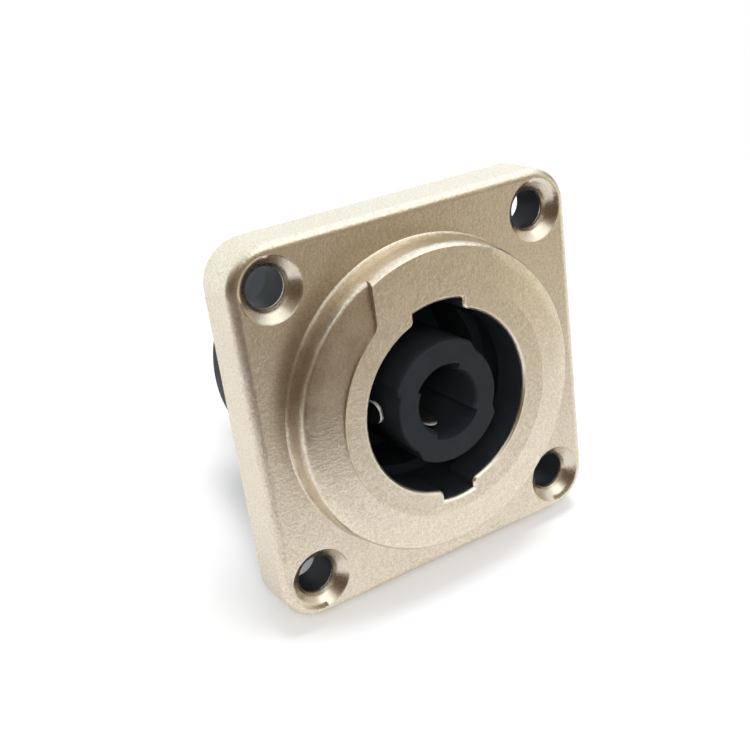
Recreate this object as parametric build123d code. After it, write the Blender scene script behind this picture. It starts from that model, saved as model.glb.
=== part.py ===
from build123d import *
import math
import os

# A four-pole twist-lock loudspeaker socket for a panel, with a square metal flange.
# Lengths are in millimetres and angles in degrees.
# The socket's axis is Y: the plug comes in from -Y, the terminal blades leave towards +Y, and Z is up.
# The face of the panel is y = 0, so whatever stands in front of the panel has a negative y.

# Front shell: a nickel-plated die casting, hollow from behind
flange_width = 40.1
flange_corner_r = 4.4
flange_depth = 5.4
flange_draft_angle = 1.0
flange_edge_r = 1.0
shell_wall = 1.5
shell_face = 1.6

# The raised disc on the flange: a wall, a sloping skirt and a flat pad round the mouth
disc_base_r = 16.5
disc_rim_r = 16.3
disc_rim_height = 2.8
disc_wall = 1.3
disc_edge = 0.3
disc_foot = 0.3
skirt_top_height = 3.35
pad_r = 12.2
pad_height = 3.6
tab_width = 14.2
tab_blend_r = 1.7

# The keyed mouth that the plug's two lugs pass through
mouth_r = 9.65
key_r = 10.75
wide_key_width = 6.0
wide_key_angle = 90.0
narrow_key_width = 3.8
narrow_key_angle = 270.0
key_corner_r = 0.7
mouth_lip = 0.5
mouth_edge = 0.2

# Screw holes at the flange's corners
screw_inset = 4.4
screw_hole_r = 2.05
countersink_r = 3.33
countersink_angle = 90.0

# Housing: the black body behind the shell, with its barrel through the panel
nest_gap = 0.1
collar_wall = 0.85
key_land_depth = 4.4
groove_r = 10.9
groove_width = 4.2
lock_turn = 30.0
stop_rib_angle = 5.0
socket_depth = 15.0
barrel_r = 14.2
barrel_length = 18.0
barrel_wall = 1.6
barrel_chamfer = 0.5

# Contact carrier: the core in the middle of the socket, and the base behind it
core_r = 6.55
core_recess_r = 6.0
recess_start_angle = -22.0
recess_end_angle = 47.0
crown_start_angle = 57.0
crown_end_angle = 151.0
core_setback = 0.2
core_edge = 0.2
core_edge_angle = 45.0
core_hole_r = 3.35
core_hole_depth = 13.5
core_hole_chamfer = 0.35
relief_r = 4.05
relief_start_angle = 62.0
relief_end_angle = 149.0
carrier_floor = 3.0
carrier_skirt = 1.3
tower_r = 9.6
tower_arm_width = 8.0
tower_bore_r = 2.2

# The key and the two hooks that seat the carrier in the barrel
rib_width = 2.5
rib_height = 0.6
rib_angle = 90.0
hook_angles = (45.0, 225.0)
hook_width = 3.6
hook_height = 1.0
hook_start = 4.0
hook_length = 3.0
hook_slit = 0.8

# Terminal plate at the barrel's rear end
plate_thickness = 2.6
plate_recess = 0.4

# Contacts: bent strips with a spring in the socket and a blade behind
strip_thickness = 0.4
strip_gap = 0.1
spring_setback = 2.5
outer_spring_r = 6.45
outer_spring_width = 2.4
outer_spring_bow = 0.6
inner_spring_r = 3.1
inner_spring_width = 1.6
inner_spring_bow = -0.4
inner_spring_turn = -9.0
spring_crest = 3.1
spring_foot = 8.8
spring_bend_r = 3.0
strip_bend_r = 0.5
blade_width = 4.8
blade_step = 1.55
blade_length = 8.0
blade_chamfer = 0.8
blade_hole_r = 0.75
blade_hole_setback = 2.6
plus_1_angle = 180.0
minus_1_angle = 0.0
plus_2_angle = 90.0
minus_2_angle = 270.0
half_turn_angle = 180.0

# Depths that follow from the sizes above
face_y = -flange_depth
pocket_y = face_y + shell_face
root_y = (face_y + pocket_y) / 2
rim_y = face_y - disc_rim_height
skirt_top_y = face_y - skirt_top_height
pad_y = face_y - pad_height
nose_y = rim_y + disc_wall
collar_y = pad_y + mouth_lip
groove_start_y = pad_y + key_land_depth
groove_end_y = groove_start_y + groove_width
floor_y = pad_y + socket_depth
core_y = pad_y + core_setback
core_floor_y = core_y + core_hole_depth
carrier_floor_y = floor_y + carrier_floor
plate_end_y = barrel_length - plate_recess
carrier_end_y = plate_end_y - plate_thickness
hook_y = floor_y + hook_start
hook_end_y = hook_y + hook_length
tip_y = core_y + spring_setback
bend_y = carrier_end_y - strip_thickness / 2
blade_end_y = barrel_length + blade_length

# Radii, widths and places that follow from the sizes above
pocket_width = flange_width - 2 * shell_wall
pocket_corner_r = flange_corner_r - shell_wall
disc_draft = (disc_base_r - disc_rim_r) / disc_rim_height
pocket_r = disc_rim_r - shell_wall
nose_r = pocket_r - nest_gap
collar_r = key_r + collar_wall
rebate_r = collar_r + nest_gap
barrel_bore_r = barrel_r - barrel_wall
carrier_r = barrel_bore_r - nest_gap
skirt_bore_r = carrier_r - carrier_skirt
skirt_middle_r = (skirt_bore_r + carrier_r) / 2
blade_r = outer_spring_r + blade_step
screw_spacing = flange_width - 2 * screw_inset
screw_places = [place.position for place in GridLocations(screw_spacing, screw_spacing, 2, 2)]

# Each pair's spring: its radius, its width, the way it bows, and how far round it stands from the blade
outer_spring = (outer_spring_r, outer_spring_width, outer_spring_bow, 0.0)
inner_spring = (inner_spring_r, inner_spring_width, inner_spring_bow, inner_spring_turn)

# Each contact's blade angle about the axis, and its spring
contacts = {
    "contact_1_plus": (plus_1_angle, outer_spring),
    "contact_1_minus": (minus_1_angle, outer_spring),
    "contact_2_plus": (plus_2_angle, inner_spring),
    "contact_2_minus": (minus_2_angle, inner_spring),
}


def facing(y):
    """Plane across the axis at depth y: its x is X, its y is Z, and it faces the plug."""
    return Plane(origin=(0, y, 0), x_dir=(1, 0, 0), z_dir=(0, -1, 0))


def prism(outline, front, back):
    """Extrudes an outline across the axis, between its front depth and its back depth."""
    return extrude(facing(back) * outline, amount=back - front)


def turned(*points):
    """Turns a closed outline of (radius, y) points about the axis."""
    return revolve(make_face(Polyline(*points, close=True)), axis=Axis.Y)


def cylinder(radius, front, back):
    """A round plug about the axis."""
    return prism(Circle(radius), front, back)


def around(angle):
    """Turns what is built along +X to an angle about the axis, counted from +X towards +Z."""
    return Rot(0, -angle, 0)


def polar(radius, angle):
    """A point of an outline, from its radius and angle."""
    return (radius * math.cos(math.radians(angle)), radius * math.sin(math.radians(angle)))


def wedge(start_angle, end_angle, radius):
    """A three-cornered outline from the axis that covers a circle's sector between two angles."""
    far_r = 2 * radius
    return make_face(Polyline((0, 0), polar(far_r, start_angle), polar(far_r, end_angle), close=True))


def radial_block(inner, outer, width, front, back, angle):
    """A block that runs out from one radius to another, at an angle about the axis."""
    outline = Pos((inner + outer) / 2, 0) * Rectangle(outer - inner, width)
    return around(angle) * prism(outline, front, back)


def screw_holes(cutter):
    """Copies of a hole's cutter, one for each corner of the flange."""
    return [Pos(place.X, 0, place.Y) * cutter for place in screw_places]


def mouth_outline():
    """The mouth: a circle with a wide key at the top and a narrow one at the bottom."""
    wide = Pos(0, key_r / 2) * Rectangle(wide_key_width, key_r)
    narrow = Pos(0, -key_r / 2) * Rectangle(narrow_key_width, key_r)
    outline = (Circle(mouth_r) + wide + narrow) & Circle(key_r)
    feet = [v for v in outline.vertices() if math.hypot(v.X, v.Y) < (mouth_r + key_r) / 2]
    return fillet(feet, key_corner_r)


def pad_outline():
    """The flat pad round the mouth, with the broad tab that runs up to the disc's rim."""
    outline = Circle(pad_r) + Pos(0, disc_base_r / 2) * Rectangle(tab_width, disc_base_r)
    roots = [v for v in outline.vertices() if math.hypot(v.X, v.Y) < (pad_r + disc_base_r) / 2]
    return fillet(roots, tab_blend_r)


def disc_form(top_r, top_y, inner_r, inner_y):
    """The disc turned solid: foot, drafted wall, broken rim, and its front up to an inner edge."""
    form = turned(
        (0, root_y),
        (disc_base_r + disc_foot, root_y),
        (disc_base_r + disc_foot, face_y),
        (disc_base_r - disc_draft * disc_foot, face_y - disc_foot),
        (top_r, top_y),
        (inner_r, inner_y),
        (0, inner_y),
    )
    rim = [e for e in form.edges().filter_by(GeomType.CIRCLE) if abs(e.radius - top_r) < disc_edge / 10]
    return chamfer(rim, disc_edge)


def disc():
    """The raised disc: a low sloping skirt, with the pad and its tab standing above it."""
    tall_r = disc_base_r - disc_draft * pad_height
    skirt = disc_form(disc_rim_r, rim_y, pad_r, skirt_top_y)
    tall = disc_form(tall_r, pad_y, pad_r, pad_y)
    return skirt + (tall & prism(pad_outline(), pad_y, root_y))


def flange():
    """The flange's outer form, drawn in towards the front, with a rounded front edge."""
    rear = RectangleRounded(flange_width, flange_width, flange_corner_r)
    block = extrude(facing(0) * rear, amount=flange_depth, taper=flange_draft_angle)
    return fillet(block.faces().sort_by(Axis.Y)[0].edges(), flange_edge_r)


def countersunk_hole():
    """The cutter for one screw hole of the shell."""
    sink_depth = (countersink_r - screw_hole_r) / math.tan(math.radians(countersink_angle / 2))
    sink_y = face_y + sink_depth
    sink = turned((0, face_y), (countersink_r, face_y), (screw_hole_r, sink_y), (0, sink_y))
    return cylinder(screw_hole_r, face_y, 0) + sink


def front_shell():
    """The die-cast cover: square flange, raised disc and the mouth's thin lip."""
    body = flange() + disc()
    body = body - prism(RectangleRounded(pocket_width, pocket_width, pocket_corner_r), pocket_y, 0)
    body = body - cylinder(pocket_r, nose_y, 0) - cylinder(rebate_r, collar_y, 0)
    body = body - prism(mouth_outline(), pad_y, 0)
    body = chamfer(body.faces().sort_by(Axis.Y)[0].inner_wires()[0].edges(), mouth_edge)
    return body - screw_holes(countersunk_hole())


def stop_ribs():
    """The two ribs in the lug groove that end the plug's turn, one for each lug."""
    ribs = []
    for key_angle, key_width in ((wide_key_angle, wide_key_width), (narrow_key_angle, narrow_key_width)):
        half_lug = math.degrees(math.asin(key_width / 2 / key_r))
        rib_end = key_angle - half_lug - lock_turn
        rib_start = rib_end - stop_rib_angle
        arc = (Circle(groove_r) - Circle(mouth_r)) & wedge(rib_start, rib_end, groove_r)
        ribs.append(prism(arc, groove_start_y, groove_end_y))
    return ribs


def barrel_key(front, back, gap=0.0):
    """The locating key on the carrier and the plate. With a gap it is the barrel's groove for them."""
    outer = carrier_r + rib_height + gap
    return radial_block(skirt_middle_r, outer, rib_width + 2 * gap, front, back, rib_angle)


def hook_windows():
    """The cutters for the windows in the barrel's wall, one for each hook of the carrier."""
    width = hook_width + 2 * nest_gap
    front = hook_y - nest_gap
    back = hook_end_y + nest_gap
    outer = 2 * barrel_r
    return [radial_block(skirt_middle_r, outer, width, front, back, angle) for angle in hook_angles]


def housing():
    """The moulded body: flange and nose inside the shell, keyed collar, lug groove and barrel."""
    width = pocket_width - 2 * nest_gap
    barrel = cylinder(barrel_r, 0, barrel_length)
    barrel = chamfer(barrel.edges().sort_by(Axis.Y)[-1], barrel_chamfer)
    body = prism(RectangleRounded(width, width, pocket_corner_r - nest_gap), pocket_y, 0)
    body = body + cylinder(nose_r, nose_y, pocket_y) + cylinder(collar_r, collar_y, nose_y) + barrel
    body = body - prism(mouth_outline(), collar_y, groove_start_y)
    body = body - cylinder(groove_r, groove_start_y, groove_end_y)
    body = body - cylinder(mouth_r, groove_end_y, floor_y)
    body = body + stop_ribs()
    body = body - cylinder(barrel_bore_r, floor_y, barrel_length)
    body = body - barrel_key(floor_y, barrel_length, nest_gap) - hook_windows()
    return body - screw_holes(cylinder(screw_hole_r, pocket_y, 0))


def core_outline():
    """The core: round above and below, and cut back at both sides for the outer contacts."""
    recess_angles = (recess_start_angle, (recess_start_angle + recess_end_angle) / 2, recess_end_angle)
    crown_angles = (crown_start_angle, (crown_start_angle + crown_end_angle) / 2, crown_end_angle)
    edges = []
    for turn in (0, half_turn_angle):
        recess = [polar(core_recess_r, angle + turn) for angle in recess_angles]
        crown = [polar(core_r, angle + turn) for angle in crown_angles]
        next_recess = polar(core_recess_r, recess_start_angle + half_turn_angle + turn)
        edges += [ThreePointArc(*recess), Line(recess[-1], crown[0])]
        edges += [ThreePointArc(*crown), Line(crown[-1], next_recess)]
    return make_face(edges)


def core():
    """The hollow post in the middle of the socket, relieved inside for the two inner contacts."""
    edge_y = core_y + core_edge
    post = prism(core_outline(), edge_y, floor_y)
    post = post + extrude(facing(edge_y) * core_outline(), amount=core_edge, taper=core_edge_angle)
    lead_r = core_hole_r + core_hole_chamfer
    lead_y = core_y + core_hole_chamfer
    lead = turned((0, core_y), (lead_r, core_y), (core_hole_r, lead_y), (0, lead_y))
    post = post - cylinder(core_hole_r, core_y, core_floor_y) - lead
    for turn in (0, half_turn_angle):
        relief = Circle(relief_r) & wedge(relief_start_angle + turn, relief_end_angle + turn, relief_r)
        post = post - prism(relief, core_y, core_floor_y)
    return post


def strip_plan(spring_width, gap):
    """The strip seen along its thickness: a round-nosed spring, then a wider blade with cut corners."""
    spring_w = spring_width + 2 * gap
    blade_w = blade_width + 2 * gap
    wide_y = bend_y - strip_bend_r - gap
    round_y = tip_y + spring_width / 2
    nose = Pos(0, round_y) * Circle(spring_w / 2)
    spring = Pos(0, (round_y + wide_y) / 2) * Rectangle(spring_w, wide_y - round_y)
    blade = Pos(0, (wide_y + blade_end_y) / 2) * Rectangle(blade_w, blade_end_y - wide_y)
    blade = chamfer(blade.vertices().group_by(Axis.Y)[-1], blade_chamfer)
    across = Plane(origin=(0, 0, 0), x_dir=(0, 0, 1), z_dir=(-1, 0, 0))
    return across * (nose + spring + blade)


def contact_strip(spring_r, spring_width, bow, gap):
    """A contact built along +X: a bent strip of even thickness, with a gap all round if it's a cutter."""
    path = FilletPolyline(
        (spring_r, tip_y),
        (spring_r + bow, tip_y + spring_crest),
        (spring_r, tip_y + spring_foot),
        (spring_r, bend_y),
        (blade_r, bend_y),
        (blade_r, blade_end_y),
        radius=[spring_bend_r, spring_bend_r, strip_bend_r, strip_bend_r],
    )
    section = Rectangle(blade_width + 2 * gap, strip_thickness + 2 * gap)
    ribbon = sweep(Plane(origin=path @ 0, x_dir=(0, 0, 1), z_dir=path % 0) * section, path=path)
    return ribbon & extrude(strip_plan(spring_width, gap), amount=barrel_r, both=True)


def placed_strip(blade_angle, spring, gap=0.0):
    """A contact's strip in its place. Its flat foot turns from the blade's angle to the spring's."""
    spring_r, spring_width, bow, turn = spring
    strip = contact_strip(spring_r, spring_width, bow, gap)
    if turn == 0:
        return around(blade_angle) * strip
    joint_r = (spring_r + blade_r) / 2
    halves = split(strip, bisect_by=Plane(origin=(joint_r, 0, 0), z_dir=(1, 0, 0)), keep=Keep.BOTH)
    near, far = halves.solids().sort_by(Axis.X)
    half_thickness = strip_thickness / 2 + gap
    joint_place = polar(joint_r, blade_angle + turn / 2)
    joint_plan = Pos(*joint_place) * Circle(blade_width / 2 + gap)
    joint = prism(joint_plan, bend_y - half_thickness, bend_y + half_thickness)
    return around(blade_angle + turn) * near + joint + around(blade_angle) * far


def contact(blade_angle, spring):
    """A finished contact in its place, with the hole through its blade."""
    hole = Plane(origin=(0, blade_end_y - blade_hole_setback, 0), z_dir=(1, 0, 0)) * Circle(blade_hole_r)
    return placed_strip(blade_angle, spring) - around(blade_angle) * extrude(hole, amount=barrel_r)


def contact_slots(front):
    """The cutters for the contacts' slots, from a depth in the socket to behind the terminal plate."""
    space = cylinder(barrel_r, front, barrel_length)
    slots = []
    for blade_angle, spring in contacts.values():
        slots.append(placed_strip(blade_angle, spring, strip_gap) & space)
    return slots


def hook(angle):
    """One snap hook: its ramp leads the carrier in from behind, and its flat end holds it there."""
    ramp = Polyline(
        (skirt_middle_r, hook_y),
        (carrier_r, hook_y),
        (carrier_r + hook_height, hook_end_y),
        (skirt_middle_r, hook_end_y),
        close=True,
    )
    return around(angle) * extrude(make_face(ramp), amount=hook_width / 2, both=True)


def hook_slits(angle):
    """The cutters for the two slits that free a hook's arm from the skirt."""
    offset = (hook_width + hook_slit) / 2
    slit = Pos(skirt_middle_r, 0) * Rectangle(2 * carrier_skirt, hook_slit)
    pair = Pos(0, offset) * slit + Pos(0, -offset) * slit
    return around(angle) * prism(pair, carrier_floor_y, carrier_end_y)


def contact_carrier():
    """The core on its base, which holds the four contacts and snaps into the barrel."""
    arms = Rectangle(2 * tower_r, tower_arm_width) + Rectangle(tower_arm_width, 2 * tower_r)
    tower = (arms & Circle(tower_r)) - Circle(tower_bore_r)
    skirt = Circle(carrier_r) - Circle(skirt_bore_r)
    body = core() + cylinder(carrier_r, floor_y, carrier_floor_y)
    body = body + prism(tower, carrier_floor_y, carrier_end_y)
    body = body + prism(skirt, carrier_floor_y, carrier_end_y)
    body = body + barrel_key(floor_y, carrier_end_y)
    for angle in hook_angles:
        body = body - hook_slits(angle) + hook(angle)
    return body - contact_slots(core_floor_y)


def terminal_plate():
    """The plate that closes the barrel and keeps the contacts from being pushed out."""
    body = cylinder(carrier_r, carrier_end_y, plate_end_y) + barrel_key(carrier_end_y, plate_end_y)
    return body - contact_slots(carrier_end_y)


def main():
    """Writes each piece of the socket to its own file."""
    os.makedirs("parts", exist_ok=True)
    pieces = {
        "front_shell": front_shell(),
        "housing": housing(),
        "contact_carrier": contact_carrier(),
        "terminal_plate": terminal_plate(),
    }
    for name, (blade_angle, spring) in contacts.items():
        pieces[name] = contact(blade_angle, spring)
    for name, piece in pieces.items():
        export_step(piece, f"parts/{name}.step")


main()
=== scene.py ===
import logging
import math
from dataclasses import dataclass, field
from enum import Enum
from typing import Any

import bmesh
import bpy
from mathutils import Matrix, Vector


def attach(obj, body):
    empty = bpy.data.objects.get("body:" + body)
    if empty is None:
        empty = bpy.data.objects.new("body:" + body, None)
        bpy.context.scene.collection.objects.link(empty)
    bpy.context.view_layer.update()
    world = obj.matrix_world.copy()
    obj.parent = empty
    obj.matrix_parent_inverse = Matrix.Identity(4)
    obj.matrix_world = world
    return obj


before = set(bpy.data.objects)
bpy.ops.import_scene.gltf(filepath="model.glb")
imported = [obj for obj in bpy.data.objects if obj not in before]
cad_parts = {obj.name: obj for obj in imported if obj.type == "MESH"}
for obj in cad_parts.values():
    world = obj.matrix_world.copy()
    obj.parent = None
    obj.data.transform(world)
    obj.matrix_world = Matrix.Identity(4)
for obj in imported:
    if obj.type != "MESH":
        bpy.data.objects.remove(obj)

log = logging.getLogger("socket")
MM = 0.001
BODY = "root"

Node = bpy.types.Node
Socket = bpy.types.NodeSocket
Span = tuple[float, float]
Place = tuple[float, float, float]
Colour = tuple[float, float, float, float]
WHITE: Colour = (1.0, 1.0, 1.0, 1.0)


class Slot(Enum):
    """The record's material slots."""

    NICKEL = "satin_nickel"
    MOULDING = "black_moulding"
    CONTACT = "plated_brass"


class Noise(Enum):
    """How fine a noise pattern is, in cycles per millimetre."""

    GRAIN = 4.4
    PEEL = 2.4
    MOTTLE = 0.55
    CLOUD = 0.09


class NodeSheet:
    """Adds nodes to one shader tree and links them."""

    plain_detail: float = 2.0
    rich_detail: float = 3.0
    noise_roughness: float = 0.6

    def __init__(self, tree: bpy.types.NodeTree) -> None:
        """Starts from an empty tree.

        Args:
            tree: The node tree of a material or of the world.
        """
        self.tree = tree
        tree.nodes.clear()

    def feed(self, socket: Socket, value: Any) -> None:
        """Links a socket to another node's output, or gives it a value.

        Args:
            socket: The input to fill.
            value: An output socket, a number, or a tuple of numbers.
        """
        if isinstance(value, Socket):
            self.tree.links.new(value, socket)
        else:
            socket.default_value = value

    def add(self, kind: str, feeds: dict[Any, Any] | None = None, **settings: Any) -> Node:
        """Makes a node.

        Args:
            kind: The node's type, without its ShaderNode prefix.
            feeds: What goes into its inputs, by name or index.
            settings: Values of the node's own options.

        Returns:
            The new node.
        """
        node = self.tree.nodes.new("ShaderNode" + kind)
        for name, value in settings.items():
            setattr(node, name, value)
        for key, value in (feeds or {}).items():
            self.feed(node.inputs[key], value)
        return node

    def math(self, operation: str, *values: Any) -> Socket:
        """Joins numbers with one arithmetic step and returns its output."""
        return self.add("Math", dict(enumerate(values)), operation=operation).outputs[0]

    def vector(self, operation: str, *values: Any) -> Node:
        """Joins vectors with one arithmetic step and returns its node."""
        return self.add("VectorMath", dict(enumerate(values)), operation=operation)

    def product(self, first: Socket, *others: Socket) -> Socket:
        """Multiplies numbers and returns the result."""
        for other in others:
            first = self.math("MULTIPLY", first, other)
        return first

    def long_side(self, *sides: Socket) -> Socket:
        """Gives the long side of a right-angled triangle from its two short sides."""
        squares = [self.math("MULTIPLY", side, side) for side in sides]
        return self.math("SQRT", self.math("ADD", *squares))

    def blend(self, factor: Any, first: Any, second: Any) -> Socket:
        """Mixes two colours by a factor and returns the mixed colour."""
        return self.add("Mix", {0: factor, 6: first, 7: second}, data_type="RGBA").outputs[2]

    def spread(self, value: Socket, source: Span, target: Span) -> Socket:
        """Maps a range of a number on to another range, held at its ends.

        Args:
            value: The number's socket.
            source: Where the number's range starts and ends.
            target: What the start and the end become.

        Returns:
            The mapped number's socket.
        """
        return self.add("MapRange", dict(enumerate((value, *source, *target)))).outputs[0]

    def rise(self, value: Socket, source: Span) -> Socket:
        """Gives a mask that goes from 0 to 1 over a range of a number."""
        return self.spread(value, source, (0.0, 1.0))

    def fall(self, value: Socket, source: Span) -> Socket:
        """Gives a mask that goes from 1 to 0 over a range of a number."""
        return self.spread(value, source, (1.0, 0.0))

    def millimetres(self) -> Socket:
        """Gives a point's place in the socket's own frame, in millimetres."""
        place = self.add("TexCoord").outputs["Object"]
        return self.add("VectorMath", {0: place, "Scale": 1 / MM}, operation="SCALE").outputs[0]

    def noise(self, place: Socket, fineness: Noise, detail: float = plain_detail) -> Socket:
        """Makes a noise pattern.

        Args:
            place: The point's place in millimetres.
            fineness: Its cycles per millimetre.
            detail: How many finer layers it carries.

        Returns:
            The noise from 0 to 1.
        """
        feeds = {"Vector": place, "Scale": fineness.value, "Detail": detail}
        feeds["Roughness"] = self.noise_roughness
        return self.add("TexNoise", feeds).outputs[0]

    def bump(self, height: Socket, depth_mm: float, strength: float, under: Any = None) -> Socket:
        """Turns a height into a surface normal.

        Args:
            height: The height's socket, from 0 to 1.
            depth_mm: What a height of 1 is worth.
            strength: The share of it that shows.
            under: Another bump's normal that this one adds to.

        Returns:
            The normal's socket.
        """
        feeds = {"Height": height, "Distance": depth_mm * MM, "Strength": strength}
        if under is not None:
            feeds["Normal"] = under
        return self.add("Bump", feeds).outputs[0]

    def seen_by(self, *kinds: str) -> Socket:
        """Gives 1 for rays of any of the kinds that it is given, such as Camera and Glossy."""
        rays = self.add("LightPath").outputs
        seen = rays[f"Is {kinds[0]} Ray"]
        for kind in kinds[1:]:
            seen = self.math("MAXIMUM", seen, rays[f"Is {kind} Ray"])
        return seen

    def finish(self, shader: Node, output: str = "OutputMaterial") -> None:
        """Sends a shader to the surface output.

        Args:
            shader: The node that shades the surface.
            output: The output node's type.
        """
        self.tree.links.new(shader.outputs[0], self.add(output).inputs["Surface"])


def new_material(name: str) -> tuple[bpy.types.Material, NodeSheet]:
    """Makes an empty material.

    Args:
        name: Its name.

    Returns:
        The material, and the sheet that its nodes go on.
    """
    material = bpy.data.materials.new(name)
    material.use_nodes = True
    return material, NodeSheet(material.node_tree)


def link(thing: bpy.types.Object) -> None:
    """Adds an object to the scene."""
    bpy.context.scene.collection.objects.link(thing)


@dataclass(frozen=True)
class Finish:
    """A procedural finish. Each kind says what feeds its surface shader."""

    name: str = "finish"

    def feeds(self, sheet: NodeSheet, place: Socket) -> dict[str, Any]:
        """Makes the finish's own nodes.

        Args:
            sheet: The material's nodes.
            place: The point's place in millimetres.

        Returns:
            What goes into the surface shader, by the names of its inputs.
        """
        raise NotImplementedError

    def build(self) -> bpy.types.Material:
        """Makes the material and returns it."""
        material, sheet = new_material(self.name)
        feeds = self.feeds(sheet, sheet.millimetres())
        sheet.finish(sheet.add("BsdfPrincipled", feeds))
        return material


@dataclass(frozen=True)
class SatinNickel(Finish):
    """Warm satin nickel over a fine-grained zinc die casting."""

    name: str = "satin_nickel_plating"
    pale: Colour = (0.80, 0.715, 0.595, 1.0)
    warm: Colour = (0.64, 0.568, 0.462, 1.0)
    # Darker colour of the countersinks: painted shade standing in for the dark reflections in
    # these recesses.
    countersink_shade: Colour = (0.67, 0.605, 0.51, 1.0)
    speck: Colour = (0.16, 0.13, 0.10, 1.0)
    # Colour of the painted highlight round the mouth's edge.
    rim_highlight: Colour = (0.90, 0.83, 0.72, 1.0)
    peel_share: float = 0.2
    grain_share: float = 0.7
    cloud_share: float = 0.1
    tone_range: Span = (0.41, 0.59)
    rough_range: Span = (0.7, 1.3)
    roughness: Span = (0.29, 0.41)
    turned_gain: float = 0.06
    grain_mm: float = 0.026
    peel_mm: float = 0.030
    relief: float = 0.8
    speck_cells: float = 0.22
    speck_edge: Span = (0.018, 0.034)
    speck_rarity: float = 0.72
    sink_place_mm: float = 15.65
    sink_edge_mm: Span = (3.20, 3.34)
    hole_edge_mm: Span = (2.06, 2.20)
    mouth_r_mm: float = 9.65
    key_r_mm: float = 10.75
    wide_key_half_mm: float = 3.0
    narrow_key_half_mm: float = 1.9
    # Where the painted highlight round the mouth fades, and how strong it is.
    rim_highlight_edge_mm: Span = (0.32, 0.38)
    rim_highlight_strength: float = 0.8

    def feeds(self, sheet: NodeSheet, place: Socket) -> dict[str, Any]:
        """Makes the grain and specks, the countersinks' painted shade and the mouth's painted
        highlight.

        Args:
            sheet: The material's nodes.
            place: The point's place in millimetres.

        Returns:
            What goes into the surface shader, by the names of its inputs.
        """
        grain = sheet.noise(place, Noise.GRAIN, sheet.rich_detail)
        peel = sheet.noise(place, Noise.PEEL)
        mottle = sheet.noise(place, Noise.MOTTLE)
        cloud = sheet.noise(place, Noise.CLOUD)
        turned = self.countersinks(sheet, place)
        cast = sheet.math("SUBTRACT", 1.0, turned)
        tone = sheet.math("MULTIPLY", peel, self.peel_share)
        for pattern, share in ((grain, self.grain_share), (cloud, self.cloud_share)):
            tone = sheet.math("MULTIPLY_ADD", pattern, share, tone)
        tone = sheet.product(sheet.rise(tone, self.tone_range), cast)
        colour = sheet.blend(tone, self.pale, self.warm)
        # The countersinks take the darker colour: painted shade.
        colour = sheet.blend(turned, colour, self.countersink_shade)
        colour = sheet.blend(self.pits(sheet, place), colour, self.speck)
        # Painted highlight: a lighter colour along the mouth's edge.
        colour = sheet.blend(self.mouth_rim_highlight(sheet, place), colour, self.rim_highlight)
        rough = sheet.spread(sheet.math("ADD", grain, mottle), self.rough_range, self.roughness)
        rough = sheet.math("SUBTRACT", rough, sheet.math("MULTIPLY", turned, self.turned_gain))
        normal = sheet.bump(sheet.product(grain, cast), self.grain_mm, self.relief)
        normal = sheet.bump(sheet.product(peel, cast), self.peel_mm, self.relief, normal)
        return {"Base Color": colour, "Metallic": 1.0, "Roughness": rough, "Normal": normal}

    def pits(self, sheet: NodeSheet, place: Socket) -> Socket:
        """Marks a few tiny dark specks that the casting left.

        Args:
            sheet: The material's nodes.
            place: The point's place in millimetres.

        Returns:
            A mask that is 1 in a speck.
        """
        cells = sheet.add("TexVoronoi", {"Vector": place, "Scale": self.speck_cells})
        chance = sheet.add("SeparateColor", {0: cells.outputs["Color"]}).outputs[0]
        chosen = sheet.math("GREATER_THAN", chance, self.speck_rarity)
        return sheet.product(sheet.fall(cells.outputs["Distance"], self.speck_edge), chosen)

    def countersinks(self, sheet: NodeSheet, place: Socket) -> Socket:
        """Marks the four countersinks, which a tool has turned smooth and which take painted
        shade.

        Args:
            sheet: The material's nodes.
            place: The point's place in millimetres.

        Returns:
            A mask that is 1 in a countersink.
        """
        x, _, z = sheet.add("SeparateXYZ", {0: place}).outputs[:3]
        ways = [sheet.math("ABSOLUTE", way) for way in (x, z)]
        steps = [sheet.math("SUBTRACT", way, self.sink_place_mm) for way in ways]
        radius = sheet.long_side(*steps)
        inside = sheet.fall(radius, self.sink_edge_mm)
        return sheet.product(inside, sheet.rise(radius, self.hole_edge_mm))

    def mouth_rim_highlight(self, sheet: NodeSheet, place: Socket) -> Socket:
        """Marks the painted highlight, a lighter colour, round the keyed mouth's edge.

        Args:
            sheet: The material's nodes.
            place: The point's place in millimetres.

        Returns:
            A mask that is largest on the mouth's broken edge.
        """
        x, _, z = sheet.add("SeparateXYZ", {0: place}).outputs[:3]
        radius = sheet.long_side(x, z)
        side = sheet.math("ABSOLUTE", x)
        below = sheet.math("MULTIPLY", z, -1.0)
        top = sheet.math("MAXIMUM", sheet.math("SUBTRACT", side, self.wide_key_half_mm), below)
        foot = sheet.math("MAXIMUM", sheet.math("SUBTRACT", side, self.narrow_key_half_mm), z)
        beyond_keys = sheet.math("SUBTRACT", radius, self.key_r_mm)
        keys = sheet.math("MAXIMUM", sheet.math("MINIMUM", top, foot), beyond_keys)
        away = sheet.math("MINIMUM", sheet.math("SUBTRACT", radius, self.mouth_r_mm), keys)
        return sheet.spread(away, self.rim_highlight_edge_mm, (self.rim_highlight_strength, 0.0))


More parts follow.
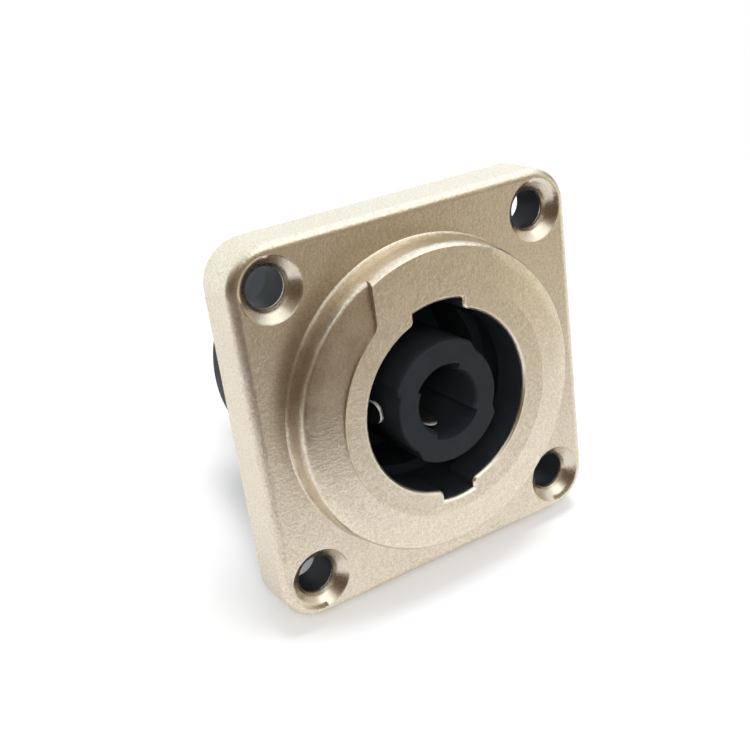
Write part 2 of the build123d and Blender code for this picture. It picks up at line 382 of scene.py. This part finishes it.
@dataclass(frozen=True)
class BlackMoulding(Finish):
    """Matt black glass-filled moulding with a faint spark-eroded grain."""

    name: str = "black_glass_filled_moulding"
    deep: Colour = (0.0185, 0.0216, 0.0250, 1.0)
    worn: Colour = (0.0232, 0.0268, 0.0306, 1.0)
    worn_range: Span = (0.35, 0.7)
    rough_range: Span = (0.3, 0.7)
    roughness: Span = (0.48, 0.60)
    specular: float = 0.15
    grain_mm: float = 0.012
    relief: float = 0.7

    def feeds(self, sheet: NodeSheet, place: Socket) -> dict[str, Any]:
        """Makes the moulding's uneven black and its grain.

        Args:
            sheet: The material's nodes.
            place: The point's place in millimetres.

        Returns:
            What goes into the surface shader, by the names of its inputs.
        """
        grain = sheet.noise(place, Noise.GRAIN, sheet.rich_detail)
        cloud = sheet.noise(place, Noise.MOTTLE, sheet.rich_detail)
        return {
            "Base Color": sheet.blend(sheet.rise(cloud, self.worn_range), self.deep, self.worn),
            "Roughness": sheet.spread(cloud, self.rough_range, self.roughness),
            "Specular IOR Level": self.specular,
            "Normal": sheet.bump(grain, self.grain_mm, self.relief),
        }


@dataclass(frozen=True)
class PlatedBrass(Finish):
    """Silver-coloured plating on rolled brass strip, with painted glints on the cut edges."""

    name: str = "plated_contact_strip"
    plating: Colour = (0.74, 0.73, 0.69, 1.0)
    brass: Colour = (0.69, 0.62, 0.46, 1.0)
    brass_range: Span = (0.55, 0.8)
    brass_most: float = 0.5
    # Colour and metalness of the painted glint on the cut edges.
    painted_glint: Colour = (0.95, 0.94, 0.90, 1.0)
    glint_metallic: float = 0.35
    facing_range: Span = (0.5, 0.8)
    inner_start_mm: Span = (3.08, 3.16)
    inner_end_mm: Span = (4.4, 4.6)
    outer_start_mm: Span = (6.44, 6.52)
    rough_range: Span = (0.3, 0.7)
    roughness: Span = (0.28, 0.40)
    lines: Place = (2.0, 0.25, 2.0)
    rolled_mm: float = 0.001
    relief: float = 0.25

    def feeds(self, sheet: NodeSheet, place: Socket) -> dict[str, Any]:
        """Makes the rolled surface, its tint of brass and the painted glints on its cut edges.

        Args:
            sheet: The material's nodes.
            place: The point's place in millimetres.

        Returns:
            What goes into the surface shader, by the names of its inputs.
        """
        stretched = sheet.vector("MULTIPLY", place, self.lines).outputs[0]
        rolled = sheet.noise(stretched, Noise.PEEL)
        cloud = sheet.noise(place, Noise.MOTTLE)
        tint = sheet.spread(cloud, self.brass_range, (0.0, self.brass_most))
        edge = self.glint_edges(sheet, place)
        # Painted glint: a near-white, less metallic colour on the cut edges.
        colour = sheet.blend(edge, sheet.blend(tint, self.plating, self.brass), self.painted_glint)
        return {
            "Base Color": colour,
            "Metallic": sheet.spread(edge, (0.0, 1.0), (1.0, self.glint_metallic)),
            "Roughness": sheet.spread(rolled, self.rough_range, self.roughness),
            "Normal": sheet.bump(rolled, self.rolled_mm, self.relief),
        }

    def glint_edges(self, sheet: NodeSheet, place: Socket) -> Socket:
        """Marks the cut edges that take a painted glint: those facing along or round the axis,
        not away from it.

        Args:
            sheet: The material's nodes.
            place: The point's place in millimetres.

        Returns:
            A mask that is 1 on a cut edge of a spring's nose or a blade, where the glint is
            painted.
        """
        flat = sheet.vector("MULTIPLY", place, (1.0, 0.0, 1.0)).outputs[0]
        outward = sheet.vector("NORMALIZE", flat).outputs[0]
        facing = sheet.add("TexCoord").outputs["Normal"]
        along = sheet.vector("DOT_PRODUCT", facing, outward).outputs["Value"]
        edge = sheet.fall(sheet.math("ABSOLUTE", along), self.facing_range)
        radius = sheet.vector("LENGTH", flat).outputs["Value"]
        started = sheet.rise(radius, self.inner_start_mm)
        inner = sheet.product(started, sheet.fall(radius, self.inner_end_mm))
        outer = sheet.rise(radius, self.outer_start_mm)
        return sheet.product(edge, sheet.math("MAXIMUM", inner, outer))


@dataclass
class Finishes:
    """The socket's three finishes, each made once."""

    materials: dict[Slot, bpy.types.Material] = field(default_factory=dict)

    def build(self) -> None:
        """Makes a material for every slot."""
        makers: dict[Slot, Finish] = {
            Slot.NICKEL: SatinNickel(),
            Slot.MOULDING: BlackMoulding(),
            Slot.CONTACT: PlatedBrass(),
        }
        for slot, maker in makers.items():
            self.materials[slot] = maker.build()
            log.info("finish %s made", slot.value)


@dataclass
class MouldedPieces:
    """Nodes of the frame whose shape is right, and which only take a finish."""

    finishes: Finishes
    slots: dict[str, Slot] = field(
        default_factory=lambda: {
            "front_shell": Slot.NICKEL,
            "housing": Slot.MOULDING,
            "contact_carrier": Slot.MOULDING,
            "terminal_plate": Slot.MOULDING,
            "contact_1_plus": Slot.CONTACT,
            "contact_1_minus": Slot.CONTACT,
            "contact_2_plus": Slot.CONTACT,
            "contact_2_minus": Slot.CONTACT,
        }
    )
    weld_mm: float = 0.0005
    crease_deg: float = 50.0

    def dress(self) -> None:
        """Gives each node its finish and its soft edge shading."""
        for name, slot in self.slots.items():
            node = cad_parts[name]
            for holder in node.material_slots:
                holder.material = self.finishes.materials[slot]
            self.soften(node)
            log.info("%s takes %s", name, slot.value)

    def soften(self, node: bpy.types.Object) -> None:
        """Shades narrow bevels as rounds, and leaves square edges crisp.

        Args:
            node: The node, whose own mesh stays as it is.
        """
        weld = node.modifiers.new("weld", "WELD")
        weld.merge_threshold = self.weld_mm * MM
        split = node.modifiers.new("crease", "EDGE_SPLIT")
        split.split_angle = math.radians(self.crease_deg)
        normals = node.modifiers.new("normals", "WEIGHTED_NORMAL")
        normals.keep_sharp = True


@dataclass
class PoleMarks:
    """Raised pole marks on the terminal plate's rear face, one outside each blade."""

    finishes: Finishes
    places: dict[str, tuple[str, float, float]] = field(
        default_factory=lambda: {
            "mark_1_plus": ("1+", -10.6, 0.0),
            "mark_1_minus": ("1-", 10.6, 0.0),
            "mark_2_plus": ("2+", 0.0, 10.6),
            "mark_2_minus": ("2-", 0.0, -10.6),
        }
    )
    face_y_mm: float = 17.6
    sunk_mm: float = 0.02
    rise_mm: float = 0.22
    size_mm: float = 2.5
    round_mm: float = 0.04
    round_steps: int = 1
    curve_steps: int = 4

    def build(self) -> None:
        """Makes the four marks."""
        for name, (words, x, z) in self.places.items():
            mark = self.raised(name, words)
            mark.matrix_world = self.stand(x, z)
            mark.data.materials.append(self.finishes.materials[Slot.MOULDING])
            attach(mark, BODY)
            log.info("%s raised on the terminal plate", name)

    def stand(self, x: float, z: float) -> Matrix:
        """Turns a mark to read from behind, and puts it on the plate's face.

        Args:
            x: The mark's middle to the right in millimetres, seen from the front.
            z: The mark's middle upwards in millimetres.

        Returns:
            The mark's place, in metres.
        """
        middle_y = self.face_y_mm - self.sunk_mm + self.rise_mm / 2
        turn = Matrix(((-1, 0, 0), (0, 0, 1), (0, 1, 0))).to_4x4()
        return Matrix.Translation(Vector((x, middle_y, z)) * MM) @ turn

    def raised(self, name: str, words: str) -> bpy.types.Object:
        """Makes one mark as a mesh with a softened edge.

        Args:
            name: The mark's name.
            words: What it reads.

        Returns:
            The mark, lying flat with its middle at the origin.
        """
        outline = bpy.data.curves.new(name, "FONT")
        outline.body = words
        outline.align_x = "CENTER"
        outline.align_y = "CENTER"
        outline.size = self.size_mm * MM
        outline.extrude = (self.rise_mm / 2 - self.round_mm) * MM
        outline.bevel_depth = self.round_mm * MM
        outline.bevel_resolution = self.round_steps
        outline.resolution_u = self.curve_steps
        shape = bpy.data.objects.new(name + "_outline", outline)
        mesh = bpy.data.meshes.new_from_object(shape)
        bpy.data.objects.remove(shape)
        mark = bpy.data.objects.new(name, mesh)
        link(mark)
        return mark


@dataclass
class Ground:
    """The plane that the flange's rear bottom edge and the barrel's end rest on."""

    edge_z_mm: float = -20.05
    barrel_z_mm: float = -14.2
    barrel_y_mm: float = 18.0

    @property
    def lean(self) -> float:
        """Angle by which the socket leans back."""
        return math.atan2(self.barrel_z_mm - self.edge_z_mm, self.barrel_y_mm)

    @property
    def matrix(self) -> Matrix:
        """The ground's own frame: x right, y towards the back, z up."""
        lowered = Matrix.Translation((0, 0, self.edge_z_mm * MM))
        return lowered @ Matrix.Rotation(self.lean, 4, "X")

    def stand(
        self, name: str, shape: bmesh.types.BMesh, material: bpy.types.Material
    ) -> bpy.types.Object:
        """Stands a shape in the ground's frame, as an object of the scene.

        Args:
            name: The object's name.
            shape: Its shape, which is freed.
            material: Its material.

        Returns:
            The new object.
        """
        mesh = bpy.data.meshes.new(name)
        shape.to_mesh(mesh)
        shape.free()
        mesh.materials.append(material)
        thing = bpy.data.objects.new(name, mesh)
        thing.matrix_world = self.matrix
        link(thing)
        return thing


@dataclass(frozen=True)
class Patch:
    """A soft-edged patch of the room, by where it starts, is full, fades and ends in degrees."""

    azimuth: tuple[float, float, float, float]
    elevation: tuple[float, float, float, float]
    colour: Colour

    def mask(self, sheet: NodeSheet, azimuth: Socket, elevation: Socket) -> Socket:
        """Finds how far a direction lies in the patch.

        Args:
            sheet: The room's nodes.
            azimuth: The direction's angle from the front towards the right.
            elevation: The direction's angle above the ground.

        Returns:
            A mask that is 1 well inside the patch.
        """
        parts = []
        for angle, limits in ((azimuth, self.azimuth), (elevation, self.elevation)):
            parts += [sheet.rise(angle, limits[:2]), sheet.fall(angle, limits[2:])]
        return sheet.product(*parts)


@dataclass
class Room:
    """A dome that only reflections see: a white room with brown parts in front.

    Where patches overlap, the later one covers the earlier one.
    """

    ground: Ground
    radius: float = 1.3
    subdivisions: int = 4
    open_sky: Colour = (1.22, 1.29, 1.29, 1.0)
    patches: tuple[Patch, ...] = (
        # The ceiling's glow.
        Patch((-70, -40, 110, 130), (60, 68, 91, 92), (1.55, 1.55, 1.45, 1.0)),
        # A window behind, at the right.
        Patch((94, 100, 150, 156), (14, 22, 60, 64), (1.6, 1.7, 1.85, 1.0)),
        # The warm half of the room, in front.
        Patch((-110, -90, 60, 85), (-35, -25, 58, 68), (0.98, 0.92, 0.76, 1.0)),
        # A brown wall in front, in three parts from low to high.
        Patch((-80, -68, 38, 50), (-8, 0, 30, 40), (0.38, 0.305, 0.21, 1.0)),
        Patch((-80, -68, 48, 60), (8, 22, 57, 67), (0.36, 0.30, 0.20, 1.0)),
        Patch((-80, -68, 44, 56), (32, 40, 56, 66), (0.26, 0.205, 0.14, 1.0)),
        # Dark parts at the left, at the front left and low in front.
        Patch((-130, -110, -50, -35), (-25, -15, 35, 50), (0.20, 0.15, 0.10, 1.0)),
        Patch((-80, -68, -16, 2), (-30, -20, 38, 52), (0.13, 0.085, 0.054, 1.0)),
        Patch((-40, -20, 14, 30), (-34, -24, 6, 22), (0.13, 0.085, 0.056, 1.0)),
        # Dark parts at the right, and high at the left.
        Patch((78, 88, 108, 120), (-10, 0, 22, 34), (0.20, 0.16, 0.11, 1.0)),
        Patch((-95, -85, -56, -48), (54, 60, 72, 80), (0.34, 0.29, 0.21, 1.0)),
        # A bright panel high in front.
        Patch((-44, 26, 84, 96), (49, 56, 74, 82), (2.1, 2.1, 2.03, 1.0)),
    )

    def build(self) -> None:
        """Makes the dome."""
        shape = bmesh.new()
        bmesh.ops.create_icosphere(shape, subdivisions=self.subdivisions, radius=self.radius)
        room = self.ground.stand("room", shape, self.light())
        room.visible_camera = False
        room.visible_diffuse = False
        room.visible_shadow = False

    def light(self) -> bpy.types.Material:
        """Makes the dome's glow, which goes by direction, and returns it."""
        material, sheet = new_material("room_light")
        way = sheet.vector("NORMALIZE", sheet.add("TexCoord").outputs["Object"]).outputs[0]
        x, y, z = sheet.add("SeparateXYZ", {0: way}).outputs[:3]
        front = sheet.math("MULTIPLY", y, -1.0)
        azimuth = sheet.math("DEGREES", sheet.math("ARCTAN2", x, front))
        elevation = sheet.math("DEGREES", sheet.math("ARCSINE", z))
        colour: Any = self.open_sky
        for patch in self.patches:
            colour = sheet.blend(patch.mask(sheet, azimuth, elevation), colour, patch.colour)
        sheet.finish(sheet.add("Emission", {"Color": colour, "Strength": 1.0}))
        return material


@dataclass
class Floor:
    """A sheet of white paper with round corners, in metres."""

    ground: Ground
    front: float = 0.098
    back: float = 0.075
    side: float = 0.115
    corner_r: float = 0.06
    corner_steps: int = 12
    tint: Colour = (0.93, 0.93, 0.925, 1.0)
    lift: float = 0.12

    def build(self) -> None:
        """Lays the sheet under the socket."""
        shape = bmesh.new()
        across = self.side - self.corner_r
        back = self.back - self.corner_r
        front = self.corner_r - self.front
        corners = ((across, back), (-across, back), (-across, front), (across, front))
        ring = []
        for quarter, (x, y) in enumerate(corners):
            for step in range(self.corner_steps + 1):
                turn = math.radians(90 * (quarter + step / self.corner_steps))
                reach = Vector((math.cos(turn), math.sin(turn), 0)) * self.corner_r
                ring.append(shape.verts.new(Vector((x, y, 0)) + reach))
        shape.faces.new(ring)
        floor = self.ground.stand("floor", shape, self.paper())

    def paper(self) -> bpy.types.Material:
        """Makes the paper, which keeps shadows and looks a little brighter than it is lit."""
        material, sheet = new_material("white_paper")
        matt = sheet.add("BsdfDiffuse", {"Color": self.tint})
        strength = sheet.math("MULTIPLY", sheet.seen_by("Camera", "Glossy"), self.lift)
        glow = sheet.add("Emission", {"Color": WHITE, "Strength": strength})
        sheet.finish(sheet.add("AddShader", {0: matt.outputs[0], 1: glow.outputs[0]}))
        return material


@dataclass(frozen=True)
class Lamp:
    """A square soft lamp that faces the socket, and that metal doesn't mirror."""

    name: str
    place: Place
    watts: float
    size: float

    def hang(self, ground: Ground) -> None:
        """Hangs the lamp.

        Args:
            ground: The frame that the lamp's place is measured in, in metres.
        """
        light = bpy.data.lights.new(self.name, "AREA")
        light.energy = self.watts
        light.size = self.size
        lamp = bpy.data.objects.new(self.name, light)
        lamp.location = ground.matrix @ Vector(self.place)
        lamp.rotation_euler = (-lamp.location).to_track_quat("-Z", "Y").to_euler()
        lamp.visible_glossy = False
        link(lamp)


@dataclass
class Studio:
    """Pale floor, white background, two soft lamps and the room that the metal mirrors."""

    ground: Ground
    fill: float = 0.46
    fill_tint: Colour = (0.97, 0.98, 1.0, 1.0)
    lamps: tuple[Lamp, ...] = (
        Lamp("key", (0.09, 0.15, 0.77), watts=2.7, size=0.26),
        Lamp("front", (-0.197, -0.244, 0.323), watts=0.8, size=0.25),
    )

    def build(self) -> None:
        """Makes the floor, the world, the lamps and the room."""
        Floor(self.ground).build()
        self.world()
        for lamp in self.lamps:
            lamp.hang(self.ground)
        Room(self.ground).build()
        log.info("studio built, leaning back %.1f degrees", math.degrees(self.ground.lean))

    def world(self) -> None:
        """Makes a world that is seen as white and lights as a soft fill."""
        world = bpy.data.worlds.new("white_room")
        world.use_nodes = True
        bpy.context.scene.world = world
        sheet = NodeSheet(world.node_tree)
        seen = sheet.seen_by("Camera", "Glossy", "Transmission")
        fill = sheet.add("Background", {"Color": self.fill_tint, "Strength": self.fill})
        white = sheet.add("Background", {"Color": WHITE, "Strength": 1.0})
        mix = sheet.add("MixShader", {0: seen, 1: fill.outputs[0], 2: white.outputs[0]})
        sheet.finish(mix, "OutputWorld")


@dataclass(frozen=True)
class PhotoCamera:
    """The photograph's camera, fitted to the flange, the disc and the screw holes."""

    place_mm: Place = (-54.61, -92.25, 44.28)
    right: Place = (0.8386, -0.5289, -0.1306)
    down: Place = (-0.3041, -0.2555, -0.9178)
    lens_mm: float = 51.6
    sensor_mm: float = 36.0
    clip: Span = (0.005, 10.0)

    def build(self) -> None:
        """Makes the camera and gives it to the scene."""
        right = Vector(self.right).normalized()
        back = right.cross(-Vector(self.down)).normalized()
        up = back.cross(right)
        turn = Matrix((right, up, back)).transposed().to_4x4()
        data = bpy.data.cameras.new("photo_camera")
        data.lens = self.lens_mm
        data.sensor_width = self.sensor_mm
        data.clip_start, data.clip_end = self.clip
        camera = bpy.data.objects.new("photo_camera", data)
        camera.matrix_world = Matrix.Translation(Vector(self.place_mm) * MM) @ turn
        link(camera)
        bpy.context.scene.camera = camera
        log.info("camera placed %.1f mm from the socket", Vector(self.place_mm).length)


def main() -> None:
    """Builds the scene in order."""
    logging.basicConfig(level=logging.INFO, format="%(name)s: %(message)s")
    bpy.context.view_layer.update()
    bpy.context.scene.view_settings.view_transform = "Standard"
    PhotoCamera().build()
    Studio(Ground()).build()
    finishes = Finishes()
    finishes.build()
    MouldedPieces(finishes).dress()
    PoleMarks(finishes).build()


if __name__ == "__main__":
    main()
